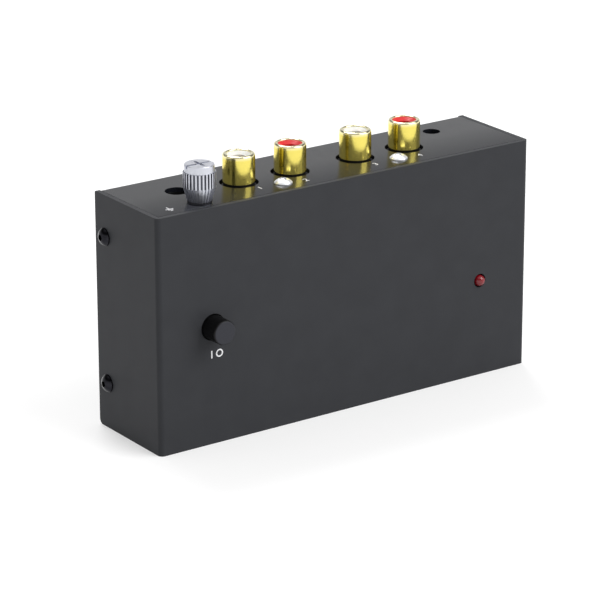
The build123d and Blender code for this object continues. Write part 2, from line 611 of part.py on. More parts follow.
with BuildPart() as dc_inlet_pin:
    pin_tip_z = inlet_mouth_back_z - INLET_PIN_SUNK
    add(revolved(Plane.XY.move(Location((INLET_X, INLET_Y, 0))), [
        (0, inlet_tail_z - TAIL / 2), (INLET_PIN_FOOT_RADIUS, inlet_tail_z - TAIL / 2),
        (INLET_PIN_FOOT_RADIUS, inlet_floor_z), (INLET_PIN_RADIUS, inlet_floor_z),
        (INLET_PIN_RADIUS, pin_tip_z), (0, pin_tip_z)]))
    fillet(dc_inlet_pin.edges().filter_by(GeomType.CIRCLE).group_by(Axis.Z)[-1], INLET_PIN_RADIUS / 2)
    with BuildSketch(facing_cover(LEAD_END_Y)):
        with Locations((INLET_X, inlet_tail_z)):
            Rectangle(TAIL, TAIL)
    extrude(amount=LEAD_END_Y - INLET_Y)
lead_hole(INLET_X, inlet_tail_z, TAIL / 2 ** 0.5)
export(dc_inlet_pin.part, "dc_inlet_pin")

with BuildPart() as dc_inlet_leaf:
    leaf_low_z = inlet_floor_z + PRINTED_GAP
    leaf_high_z = inlet_mouth_back_z - PRINTED_GAP
    with BuildSketch(facing_cover(leaf_y + INLET_LEAF / 2)):
        with Locations((INLET_X, (leaf_low_z + leaf_high_z) / 2)):
            Rectangle(INLET_LEAF_WIDTH, leaf_high_z - leaf_low_z)
    extrude(amount=INLET_LEAF)
    with BuildSketch(facing_cover(LEAD_END_Y)):
        with Locations((INLET_X, leaf_low_z + LUG / 2)):
            Rectangle(LUG_WIDTH, LUG)
    extrude(amount=LEAD_END_Y - leaf_y)
lead_hole(INLET_X, leaf_low_z + LUG / 2, (LUG_WIDTH ** 2 + LUG ** 2) ** 0.5 / 2)
export(dc_inlet_leaf.part, "dc_inlet_leaf")

# ================================================================== 3.5 mm socket
with BuildPart() as line_jack_body:
    with BuildSketch(Plane.XY.offset(PANEL_INNER_Z)):
        with Locations((LINE_X, BOARD_Y - LINE_TALL / 2)):
            Rectangle(LINE_WIDTH, LINE_TALL)
    extrude(amount=-LINE_LENGTH)
    with BuildSketch(Plane.XY.offset(PANEL_INNER_Z)):
        with Locations((LINE_X, LINE_Y)):
            Circle(LINE_BORE_RADIUS)
    extrude(amount=-LINE_BORE, mode=Mode.SUBTRACT)
    for place, hand in zip(LINE_LEAF_PLACES, (1, -1, 1)):
        slot_width = LINE_WIDTH / 2 + PRINTED_GAP
        with BuildSketch(Plane.XY.offset(PANEL_INNER_Z - place)):
            with Locations((LINE_X + hand * slot_width / 2, LINE_Y)):
                Rectangle(slot_width, LINE_LEAF_WIDTH + 2 * PRINTED_GAP)
        extrude(amount=LINE_LEAF_WIDTH / 2 + PRINTED_GAP, both=True, mode=Mode.SUBTRACT)
export(line_jack_body.part, "line_jack_body")

with BuildPart() as line_jack_contacts:
    for place, hand in zip(LINE_LEAF_PLACES, (1, -1, 1)):
        leaf_z = PANEL_INNER_Z - place
        leaf_x = LINE_X + hand * (LINE_BORE_RADIUS + LINE_LEAF)
        outer_x = LINE_X + hand * (LINE_WIDTH / 2 + PRINTED_GAP + LINE_LEAF)
        with BuildSketch(Plane.XY.offset(leaf_z)):
            with Locations(((leaf_x + outer_x) / 2, LINE_Y)):
                Rectangle(abs(outer_x - leaf_x), LINE_LEAF_WIDTH)
            with Locations((outer_x - hand * LINE_LEAF / 2, (LINE_Y + LEAD_END_Y) / 2)):
                Rectangle(LINE_LEAF, LEAD_END_Y - LINE_Y)
        extrude(amount=LINE_LEAF_WIDTH / 2, both=True)
        lead_hole(outer_x - hand * LINE_LEAF / 2, leaf_z, LINE_LEAF_WIDTH / 2)
export(line_jack_contacts.part, "line_jack_contacts")

# ================================================================== ground terminal
terminal = Plane.XY.move(Location((INLET_X, GROUND_Y, CASE_HEIGHT)))
nut_bore = GROUND_SCREW_RADIUS + RUNNING_GAP
export(revolved(terminal, [
    (nut_bore, -SHEET - GROUND_NUT), (GROUND_NUT_RADIUS, -SHEET - GROUND_NUT),
    (GROUND_NUT_RADIUS, -SHEET), (GROUND_NUT_SHANK_RADIUS, -SHEET),
    (GROUND_NUT_SHANK_RADIUS, -GROUND_NUT_SUNK), (nut_bore, -GROUND_NUT_SUNK)]), "ground_nut")
export(revolved(terminal, [
    (GROUND_SCREW_RADIUS + WASHER_GAP, 0), (WASHER_RADIUS, 0),
    (WASHER_RADIUS, WASHER), (GROUND_SCREW_RADIUS + WASHER_GAP, WASHER)]), "ground_washer")

with BuildPart() as ground_screw:
    shank_end = WASHER - GROUND_SHANK
    taper_end = WASHER + THUMB_TAPER
    straight_end = taper_end + THUMB_STRAIGHT
    thumb_end = straight_end + THUMB_BAND
    band_radius = THUMB_RADIUS - THUMB_FLUTE
    core_foot = THUMB_FOOT_RADIUS - THUMB_FLUTE
    rib_end = THUMB_RADIUS + THUMB_FLUTE
    add(revolved(terminal, [
        (0, WASHER), (THUMB_FOOT_RADIUS, WASHER), (THUMB_RADIUS, taper_end),
        (THUMB_RADIUS, straight_end), (0, straight_end)]))
    with BuildSketch(terminal.offset(straight_end)):
        with PolarLocations((core_foot + rib_end) / 2, THUMB_FLUTES):
            Rectangle(rib_end - core_foot, THUMB_FLUTE_WIDTH)
    extrude(amount=-THUMB_STRAIGHT - THUMB_TAPER, mode=Mode.SUBTRACT)
    add(revolved(terminal, [
        (0, shank_end), (GROUND_SCREW_RADIUS, shank_end), (GROUND_SCREW_RADIUS, WASHER),
        (core_foot, WASHER), (band_radius, taper_end), (band_radius, thumb_end - THUMB_TOP_EDGE),
        (band_radius - THUMB_TOP_EDGE, thumb_end), (0, thumb_end)]))
    with BuildSketch(terminal.offset(thumb_end)):
        Rectangle(2 * THUMB_RADIUS, THUMB_SLOT)
        Rectangle(THUMB_SLOT, THUMB_CROSS)
    extrude(amount=-THUMB_SLOT_DEEP, mode=Mode.SUBTRACT)
export(ground_screw.part, "ground_screw")

# ================================================================== power button
button_end_y = COVER_FACE_Y - BUTTON_PROUD
flange_y = COVER_INNER_Y + BUTTON_FLANGE_GAP
switch_roof_y = BOARD_Y - SWITCH_TALL
foot_top_y = switch_roof_y + SWITCH_WALL + SWITCH_FOOT_GAP
foot_back_y = foot_top_y + SWITCH_FOOT
switch_floor_y = BOARD_Y - SWITCH_FLOOR
foot_side = SWITCH_SIDE - 2 * SWITCH_WALL - 4 * RUNNING_GAP
button_back_y = switch_roof_y - BUTTON_TRAVEL - BUTTON_SPARE
stem_end_y = button_back_y - BUTTON_SOCKET + STEM_END_GAP
button_face = facing_cover(button_back_y)
groove_x = BUTTON_X + foot_side / 2
latch_x = BUTTON_X + SWITCH_SIDE / 2 - SWITCH_WALL / 2
latch_room = LATCH_WIRE_RADIUS + PRINTED_GAP
staple_low_y = switch_floor_y - LATCH_FOOT
staple_high_y = switch_roof_y + LATCH_TOP
staple_in_x = groove_x - LATCH_REACH

with BuildPart() as power_button:
    with BuildSketch(button_face):
        with Locations((BUTTON_X, BUTTON_Z)):
            Circle(BUTTON_RADIUS)
    extrude(amount=button_back_y - button_end_y)
    fillet(power_button.faces().sort_by(Axis.Y)[0].edges(), BUTTON_END_FILLET)
    with BuildSketch(facing_cover(flange_y + BUTTON_FLANGE)):
        with Locations((BUTTON_X, BUTTON_Z)):
            Circle(BUTTON_FLANGE_RADIUS)
    extrude(amount=BUTTON_FLANGE)
    with BuildSketch(button_face):
        with Locations((BUTTON_X, BUTTON_Z)):
            Rectangle(STEM + 2 * STEM_GAP, STEM + 2 * STEM_GAP)
    extrude(amount=BUTTON_SOCKET, mode=Mode.SUBTRACT)
export(power_button.part, "power_button")

with BuildPart() as switch_plunger:
    with BuildSketch(facing_cover(foot_back_y)):
        with Locations((BUTTON_X, BUTTON_Z)):
            Rectangle(foot_side, foot_side)
    extrude(amount=SWITCH_FOOT)
    with BuildSketch(facing_cover(foot_top_y)):
        with Locations((BUTTON_X, BUTTON_Z)):
            Rectangle(STEM, STEM)
    extrude(amount=foot_top_y - stem_end_y)
    with BuildSketch(facing_cover(foot_back_y)):
        with Locations((groove_x, BUTTON_Z)):
            Rectangle(2 * (LATCH_REACH + LATCH_GROOVE / 2), LATCH_GROOVE)
        with Locations((BUTTON_X - foot_side / 2, BUTTON_Z)):
            Rectangle(2 * BRIDGE, BRIDGE_WIDTH + 2 * PRESS_GAP)
    extrude(amount=SWITCH_FOOT, mode=Mode.SUBTRACT)
export(switch_plunger.part, "switch_plunger")

with BuildPart() as switch_bridge:
    with BuildSketch(facing_cover(foot_back_y)):
        with Locations((BUTTON_X - foot_side / 2 + BRIDGE / 2, BUTTON_Z)):
            Rectangle(BRIDGE - 2 * PRESS_GAP, BRIDGE_WIDTH)
    extrude(amount=SWITCH_FOOT)
export(switch_bridge.part, "switch_bridge")

with BuildPart() as switch_housing:
    with BuildSketch(facing_cover(switch_floor_y)):
        with Locations((BUTTON_X, BUTTON_Z)):
            Rectangle(SWITCH_SIDE, SWITCH_SIDE)
    extrude(amount=SWITCH_TALL - SWITCH_FLOOR)
    fillet(switch_housing.edges().filter_by(Axis.Y), SWITCH_WALL / 2)
    with BuildSketch(facing_cover(switch_floor_y)):
        with Locations((BUTTON_X, BUTTON_Z)):
            Rectangle(SWITCH_SIDE - 2 * SWITCH_WALL, SWITCH_SIDE - 2 * SWITCH_WALL)
    extrude(amount=SWITCH_TALL - SWITCH_FLOOR - SWITCH_WALL, mode=Mode.SUBTRACT)
    with BuildSketch(facing_cover(switch_floor_y)):
        with Locations((BUTTON_X, BUTTON_Z)):
            Rectangle(STEM + 4 * RUNNING_GAP, STEM + 4 * RUNNING_GAP)
    extrude(amount=SWITCH_TALL, mode=Mode.SUBTRACT)
    with BuildSketch(facing_cover(staple_low_y + latch_room)):
        with Locations((latch_x - SWITCH_WALL / 2, BUTTON_Z)):
            Rectangle(SWITCH_WALL + 2 * latch_room, 2 * latch_room)
    extrude(amount=staple_low_y - staple_high_y + 2 * latch_room, mode=Mode.SUBTRACT)
export(switch_housing.part, "switch_housing")

# A wire staple that drops into the plunger's groove and holds the switch down.
with BuildPart() as switch_latch_wire:
    with BuildSketch(facing_cover(staple_low_y)):
        with Locations((latch_x, BUTTON_Z)):
            Circle(LATCH_WIRE_RADIUS)
    extrude(amount=staple_low_y - staple_high_y)
    for tip_y in (staple_low_y, staple_high_y):
        with BuildSketch(Plane.YZ.offset(staple_in_x)):
            with Locations((tip_y, BUTTON_Z)):
                Circle(LATCH_WIRE_RADIUS)
        extrude(amount=latch_x - staple_in_x)
export(switch_latch_wire.part, "switch_latch_wire")

terminal_columns = (TERMINAL_MARGIN - SWITCH_SIDE / 2, SWITCH_SIDE / 2 - TERMINAL_MARGIN)
terminal_rows = (-TERMINAL_PITCH, 0, TERMINAL_PITCH)
terminal_places = [(BUTTON_X + u, BUTTON_Z + v) for u in terminal_columns for v in terminal_rows]
with BuildPart() as switch_floor:
    with BuildSketch(facing_cover(BOARD_Y)):
        with Locations((BUTTON_X, BUTTON_Z)):
            Rectangle(SWITCH_SIDE, SWITCH_SIDE)
        with Locations(*terminal_places):
            Rectangle(TAIL + 2 * PRESS_GAP, TAIL + 2 * PRESS_GAP, mode=Mode.SUBTRACT)
    extrude(amount=SWITCH_FLOOR)
export(switch_floor.part, "switch_floor")

with BuildPart() as switch_terminals:
    with BuildSketch(facing_cover(LEAD_END_Y)):
        with Locations(*terminal_places):
            Rectangle(TAIL, TAIL)
    extrude(amount=LEAD_END_Y - switch_floor_y + TAIL)
for x, z in terminal_places:
    lead_hole(x, z, TAIL / 2 ** 0.5)
export(switch_terminals.part, "switch_terminals")

spring_low_y = switch_floor_y - SPRING_END_GAP - SPRING_WIRE
spring_high_y = foot_back_y + SPRING_END_GAP + SPRING_WIRE
spring_height = spring_low_y - spring_high_y
with BuildPart() as switch_spring:
    with BuildLine() as coil:
        Helix(pitch=spring_height / SPRING_TURNS, height=spring_height, radius=SPRING_RADIUS,
              center=(BUTTON_X, spring_low_y, BUTTON_Z), direction=(0, -1, 0))
    with BuildSketch(Plane(origin=coil.line @ 0, z_dir=coil.line % 0)):
        Circle(SPRING_WIRE)
    sweep(path=coil.line, is_frenet=True)
export(switch_spring.part, "switch_spring")

# ================================================================== status lamp
led_face = Plane(origin=(LED_X, COVER_FACE_Y + LED_SUNK, LED_Z), x_dir=(1, 0, 0), z_dir=(0, -1, 0))
led_back = -LED_BARREL - LED_RIM
with BuildPart() as status_led:
    with BuildSketch(side_of(led_face)):
        with BuildLine():
            Polyline((0, LED_RADIUS), (0, led_back), (LED_RIM_RADIUS, led_back),
                     (LED_RIM_RADIUS, -LED_BARREL), (LED_RADIUS, -LED_BARREL), (LED_RADIUS, 0))
            RadiusArc((LED_RADIUS, 0), (0, LED_RADIUS), -LED_RADIUS)
        make_face()
    revolve(axis=Axis(led_face.origin, led_face.z_dir))
export(status_led.part, "status_led")

led_back_y = COVER_FACE_Y + LED_SUNK - led_back
leg_places = [(LED_X - LED_LEG_PITCH / 2, LED_Z), (LED_X + LED_LEG_PITCH / 2, LED_Z)]
with BuildPart() as led_legs:
    with BuildSketch(facing_cover(LEAD_END_Y)):
        with Locations(*leg_places):
            Rectangle(LED_LEG, LED_LEG)
    extrude(amount=LEAD_END_Y - led_back_y)
for x, z in leg_places:
    lead_hole(x, z, LED_LEG / 2 ** 0.5)
export(led_legs.part, "led_legs")

with BuildPart() as led_spacer:
    with BuildSketch(facing_cover(BOARD_Y)):
        with Locations((LED_X, LED_Z)):
            Circle(LED_SPACER_RADIUS)
        with Locations(*leg_places):
            Rectangle(LED_LEG + 2 * PRINTED_GAP, LED_LEG + 2 * PRINTED_GAP, mode=Mode.SUBTRACT)
    extrude(amount=BOARD_Y - led_back_y)
export(led_spacer.part, "led_spacer")


# ================================================================== parts on the board
def on_board(x, up):
    """Face on the board's component side, `up` above its lower edge."""
    return Plane(origin=(x, BOARD_Y, BOARD_LOW_Z + up), x_dir=(1, 0, 0), z_dir=(0, -1, 0))


def lead_spots(x, up, pitch):
    """Places of a part's two leads, noted for the board to be drilled."""
    spots = [(x - pitch / 2, BOARD_LOW_Z + up), (x + pitch / 2, BOARD_LOW_Z + up)]
    for lead_x, lead_z in spots:
        lead_hole(lead_x, lead_z, CAP_LEAD_RADIUS)
    return spots


def capacitor(x, up, radius, height, pitch):
    """Upright can with a crimped waist, and two leads through the board."""
    with BuildPart() as can:
        add(revolved(on_board(x, up), [
            (0, 0), (radius - CAP_FILLET / 2, 0), (radius, CAP_FILLET / 2), (radius, CAP_WAIST),
            (radius - CAP_FILLET / 2, CAP_WAIST + CAP_FILLET / 2), (radius, CAP_WAIST + CAP_FILLET),
            (radius, height - CAP_FILLET), (radius - CAP_FILLET, height), (0, height)]))
        with BuildSketch(facing_cover(LEAD_END_Y)):
            with Locations(*lead_spots(x, up, pitch)):
                Circle(CAP_LEAD_RADIUS)
        extrude(amount=LEAD_END_Y - BOARD_Y)
    return can.part


with BuildPart() as supply_capacitors:
    for x, up in SUPPLY_CAP_PLACES:
        add(capacitor(x, up, SUPPLY_CAP_RADIUS, SUPPLY_CAP, SUPPLY_CAP_PITCH))
export(supply_capacitors.part, "supply_capacitors")

with BuildPart() as coupling_capacitors:
    for x, up in COUPLING_CAP_PLACES:
        add(capacitor(x, up, COUPLING_CAP_RADIUS, COUPLING_CAP, COUPLING_CAP_PITCH))
export(coupling_capacitors.part, "coupling_capacitors")

with BuildPart() as film_capacitors:
    film_length, film_thick, film_tall = FILM_CAP
    for x, up in FILM_CAP_PLACES:
        with BuildSketch(on_board(x, up)):
            Rectangle(film_length, film_thick)
        extrude(amount=film_tall)
        with BuildSketch(facing_cover(LEAD_END_Y)):
            with Locations(*lead_spots(x, up, FILM_CAP_PITCH)):
                Circle(CAP_LEAD_RADIUS)
        extrude(amount=LEAD_END_Y - BOARD_Y)
export(film_capacitors.part, "film_capacitors")

chip_length, chip_width, chip_tall = CHIP
chip_columns = [(n - 1.5) * CHIP_PIN_PITCH for n in range(4)]
with BuildPart() as amplifier_chips:
    for x, up in CHIP_PLACES:
        with BuildSketch(on_board(x, up).offset(CHIP_STAND)):
            Rectangle(chip_length, chip_width)
        extrude(amount=chip_tall)
        with BuildSketch(on_board(x, up).offset(CHIP_STAND + chip_tall)):
            with Locations((-chip_length / 2, 0)):
                Circle(CHIP_NOTCH_RADIUS)
        extrude(amount=-CHIP_NOTCH_DEEP, mode=Mode.SUBTRACT)
export(amplifier_chips.part, "amplifier_chips")

with BuildPart() as amplifier_pins:
    for x, up in CHIP_PLACES:
        for row in (-1, 1):
            row_v = row * CHIP_PIN_ROW / 2
            shoulder_v = row * (chip_width / 2 + (CHIP_PIN_ROW - chip_width) / 4)
            shoulder = (CHIP_PIN_ROW - chip_width) / 2
            with BuildSketch(on_board(x, up).offset(CHIP_STAND + chip_tall / 2)):
                for column in chip_columns:
                    with Locations((column, shoulder_v)):
                        Rectangle(CHIP_PIN * 2, shoulder)
            extrude(amount=-CHIP_PIN / 2)
            with BuildSketch(facing_cover(LEAD_END_Y)):
                for column in chip_columns:
                    with Locations((x + column, BOARD_LOW_Z + up + row_v - row * CHIP_PIN / 4)):
                        Rectangle(CHIP_PIN, CHIP_PIN / 2)
            extrude(amount=LEAD_END_Y - BOARD_Y + CHIP_STAND + chip_tall / 2)
            for column in chip_columns:
                lead_hole(x + column, BOARD_LOW_Z + up + row_v - row * CHIP_PIN / 4, CHIP_PIN / 2)
export(amplifier_pins.part, "amplifier_pins")

with BuildPart() as regulators:
    for x, up in REGULATOR_PLACES:
        with BuildSketch(on_board(x, up).offset(REGULATOR_STAND)):
            Circle(REGULATOR_RADIUS)
            with Locations((0, -REGULATOR_RADIUS)):
                Rectangle(2 * REGULATOR_RADIUS, 2 * REGULATOR_FLAT, mode=Mode.SUBTRACT)
        extrude(amount=REGULATOR)
export(regulators.part, "regulators")

with BuildPart() as regulator_legs:
    for x, up in REGULATOR_PLACES:
        leg_spots = [(x + n * REGULATOR_PITCH, BOARD_LOW_Z + up) for n in (-1, 0, 1)]
        with BuildSketch(facing_cover(LEAD_END_Y)):
            with Locations(*leg_spots):
                Rectangle(LED_LEG, LED_LEG)
        extrude(amount=LEAD_END_Y - BOARD_Y + REGULATOR_STAND)
        for leg_x, leg_z in leg_spots:
            lead_hole(leg_x, leg_z, LED_LEG / 2 ** 0.5)
export(regulator_legs.part, "regulator_legs")


def axial_part(x, up, radius, length, pitch, stand):
    """Lying cylinder with a lead from each end, bent down through the board."""
    z = BOARD_LOW_Z + up
    centre_y = BOARD_Y - stand
    spots = lead_spots(x, up, pitch)
    with BuildPart() as axial:
        with BuildSketch(Plane.YZ.offset(x)):
            with Locations((centre_y, z)):
                Circle(radius)
        extrude(amount=length / 2, both=True)
        fillet(axial.edges().filter_by(GeomType.CIRCLE), AXIAL_FILLET)
        with BuildSketch(Plane.YZ.offset(x)):
            with Locations((centre_y, z)):
                Circle(AXIAL_LEAD_RADIUS)
        extrude(amount=pitch / 2 + AXIAL_LEAD_RADIUS, both=True)
        with BuildSketch(facing_cover(LEAD_END_Y)):
            with Locations(*spots):
                Circle(AXIAL_LEAD_RADIUS)
        extrude(amount=LEAD_END_Y - centre_y)
    return axial.part


with BuildPart() as resistors:
    for up in RESISTOR_UPS:
        for x in RESISTOR_PLACES:
            add(axial_part(x, up, RESISTOR_RADIUS, RESISTOR, RESISTOR_PITCH, RESISTOR_STAND))
export(resistors.part, "resistors")

with BuildPart() as supply_diode:
    add(axial_part(DIODE_X, DIODE_UP, DIODE_RADIUS, DIODE, DIODE_PITCH, DIODE_STAND))
export(supply_diode.part, "supply_diode")

# ================================================================== board and its fixings
with BuildPart() as board_standoffs:
    for x, z in board_places:
        standoff_face = Plane(origin=(x, BASE_INNER_Y, z), x_dir=(1, 0, 0), z_dir=(0, -1, 0))
        bore = BOARD_SCREW_RADIUS + THREAD_GAP
        bottom = STANDOFF_SUNK - SHEET
        add(revolved(standoff_face, [
            (0, bottom), (STANDOFF_SHANK_RADIUS, bottom), (STANDOFF_SHANK_RADIUS, 0),
            (STANDOFF_RADIUS, 0), (STANDOFF_RADIUS, STANDOFF), (bore, STANDOFF),
            (bore, bottom + STANDOFF_FLOOR), (0, bottom + STANDOFF_FLOOR)]))
export(board_standoffs.part, "board_standoffs")

with BuildPart() as board_screws:
    for x, z in board_places:
        head_face = Plane(origin=(x, BOARD_Y, z), x_dir=(1, 0, 0), z_dir=(0, -1, 0))
        add(headed_screw(head_face, BOARD_SCREW_RADIUS, BOARD_SCREW_LENGTH,
                         BOARD_SCREW_HEAD_RADIUS, BOARD_SCREW_HEAD, "cross"))
export(board_screws.part, "board_screws")

with BuildPart() as circuit_board:
    with BuildSketch(facing_cover(BOARD_BACK_Y)):
        with Locations((0, (BOARD_LOW_Z + BOARD_HIGH_Z) / 2)):
            Rectangle(2 * BOARD_END_X, BOARD_HIGH_Z - BOARD_LOW_Z)
        with Locations(*board_places):
            Circle(BOARD_SCREW_RADIUS + SCREW_GAP, mode=Mode.SUBTRACT)
        for x, z, radius in lead_holes:
            with Locations((x, z)):
                Circle(radius, mode=Mode.SUBTRACT)
    extrude(amount=BOARD)
export(circuit_board.part, "circuit_board")
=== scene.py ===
import math
import bpy
from mathutils import Matrix, Vector
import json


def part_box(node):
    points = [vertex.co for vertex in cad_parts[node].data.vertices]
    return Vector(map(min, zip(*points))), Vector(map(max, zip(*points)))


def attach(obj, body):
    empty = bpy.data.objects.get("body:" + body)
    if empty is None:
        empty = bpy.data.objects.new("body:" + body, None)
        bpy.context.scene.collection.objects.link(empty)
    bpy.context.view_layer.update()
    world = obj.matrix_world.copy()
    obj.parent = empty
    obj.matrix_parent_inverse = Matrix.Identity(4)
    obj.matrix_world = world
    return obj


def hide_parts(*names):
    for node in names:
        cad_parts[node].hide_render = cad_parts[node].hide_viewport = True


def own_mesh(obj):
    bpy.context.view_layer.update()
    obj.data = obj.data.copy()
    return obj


# Looks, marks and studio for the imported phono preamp.  Sizes and places on the object are in
# millimetres, and MM carries them to Blender's metres.

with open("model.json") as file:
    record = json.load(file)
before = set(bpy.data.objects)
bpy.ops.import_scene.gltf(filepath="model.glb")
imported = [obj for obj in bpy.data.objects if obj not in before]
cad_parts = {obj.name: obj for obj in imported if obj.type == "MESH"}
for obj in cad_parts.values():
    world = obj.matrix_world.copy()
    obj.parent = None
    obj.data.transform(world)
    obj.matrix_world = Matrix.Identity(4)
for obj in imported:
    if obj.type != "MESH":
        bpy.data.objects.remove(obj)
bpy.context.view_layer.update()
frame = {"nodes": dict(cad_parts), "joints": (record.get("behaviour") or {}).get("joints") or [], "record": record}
NODES = frame["nodes"]
JOINTS = {joint["name"]: joint for joint in frame["joints"]}
MM = 0.001


def span(node, axis):
    """Where a node starts and ends along an axis, in millimetres to the nearest micrometre."""
    return [round(corner["XYZ".index(axis)] / MM, 3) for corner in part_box(node)]


# ------------------------------------------------------------------ camera
CAMERA_PLACE = Vector((-457.77, -645.04, 306.98)) * MM
CAMERA_AZIMUTH = -0.61168    # radians, as are the two below
CAMERA_ELEVATION = 0.34197
CAMERA_ROLL = -0.00188
CAMERA_LENS = 195.264
CAMERA_SENSOR = 36.0
CAMERA_FAR = 20.0            # metres

# ------------------------------------------------------------------ light, in metres and watts
DOME_LEVEL = 0.62
BACKDROP = (                 # sine of the elevation, and the level there
    (0.0, 1.0), (0.17, 1.0), (0.28, 0.72), (0.36, 0.46),
    (0.45, 0.1), (0.65, 0.15), (0.85, 0.9), (1.0, 1.0),
)
FLOOR_SIZE = 3.0
FLOOR_COLOUR = 0.56
FLOOR_ROUGHNESS = 0.9
FLOOR_OWN_LIGHT = 0.44       # for seen rays only, so that the lit floor shows as white
LAMPS = {                    # place, size and power
    "key": (Vector((0.2, 0.8, 1.3)), 0.6, 12.0),
    "side": (Vector((0.9, -1.2, 1.3)), 1.5, 29.0),
}
AIM = Vector((0, 0, 0.03))   # what the lamps point at

# ------------------------------------------------------------------ finishes and painted light by place
OWN_LOOKS = {"connector_panel": "panel_coat"}   # nodes that leave their slot's finish
COVER_Y = span("top_cover", "Y")[0]
PANEL_Z = span("top_cover", "Z")[1]
CROWN_START_Y = 2.0          # the panel's finish falls from here to the cover
CROWN_FALL = 0.4
SHELL_TOP_Z = span("input_left_shell", "Z")[1]
SHELL_RIM_HIGHLIGHT_BAND = 1.2         # height over which a painted highlight pales the gold up to the shell's top edge
BUTTON_END_Y = span("power_button", "Y")[0]
BUTTON_END_LIGHT_BAND = 0.15       # depth over which the button's black side turns to the end face's painted light

# ------------------------------------------------------------------ thumb screw
THUMB_AXIS = [c / MM for c in JOINTS["ground_screw_turn"]["pos_m"][:2]]
THUMB_CONE = 3.6             # height from the washer to the grip
THUMB_BAND = 1.9             # height of the smooth band over the grip
GRIP_LOW_Z = span("ground_washer", "Z")[1] + THUMB_CONE
GRIP_HIGH_Z = span("ground_screw", "Z")[1] - THUMB_BAND
GRIP_LOW_FADE = 0.1
GRIP_HIGH_FADE = 0.05
FLUTE_SHADE_RADIUS = 3.84     # painted shade within this radius, none beyond the next
FLUTE_UNSHADED_RADIUS = 4.04

# ------------------------------------------------------------------ marks
INK = 0.02                   # thickness of the print
NUMERALS = {"1": (-22.9, -7.9), "2": (-9.8, -9.1), "3": (12.4, -8.4), "4": (26.3, -8.6)}
NUMERAL_SIZE = 2.6
BUTTON_MARK = (-40.75, 23.85)
ON_BAR = (-1.3, 0, 0.35, 2.0)   # x, y, width and height from the mark's middle
OFF_RING = (1.0, 0)
OFF_RADII = (1.05, 0.7)
GROUND_MARK = (-50.6, -9.4)
GROUND_BARS = (              # the stem, then three bars that get shorter downwards
    (0, 1.0, 0.22, 1.4), (0, 0.2, 2.2, 0.22), (0, -0.4, 1.4, 0.22), (0, -1.0, 0.6, 0.22),
)
RING_STEPS = 32


# ================================================================== finishes
def srgb(red, green, blue):
    """Linear colour with alpha for a colour as a screen shows it, 0 to 255."""
    shares = [c / 255 for c in (red, green, blue)]
    return tuple(c / 12.92 if c < 0.04 else ((c + 0.055) / 1.055) ** 2.4 for c in shares) + (1.0,)


def grey(level):
    """Linear grey with alpha."""
    return (level, level, level, 1.0)


def largest_of(tree, sockets):
    """The largest of several values, in a node tree."""
    total = sockets[0]
    for socket in sockets[1:]:
        larger = tree.nodes.new("ShaderNodeMath")
        larger.operation = "MAXIMUM"
        tree.links.new(total, larger.inputs[0])
        tree.links.new(socket, larger.inputs[1])
        total = larger.outputs[0]
    return total


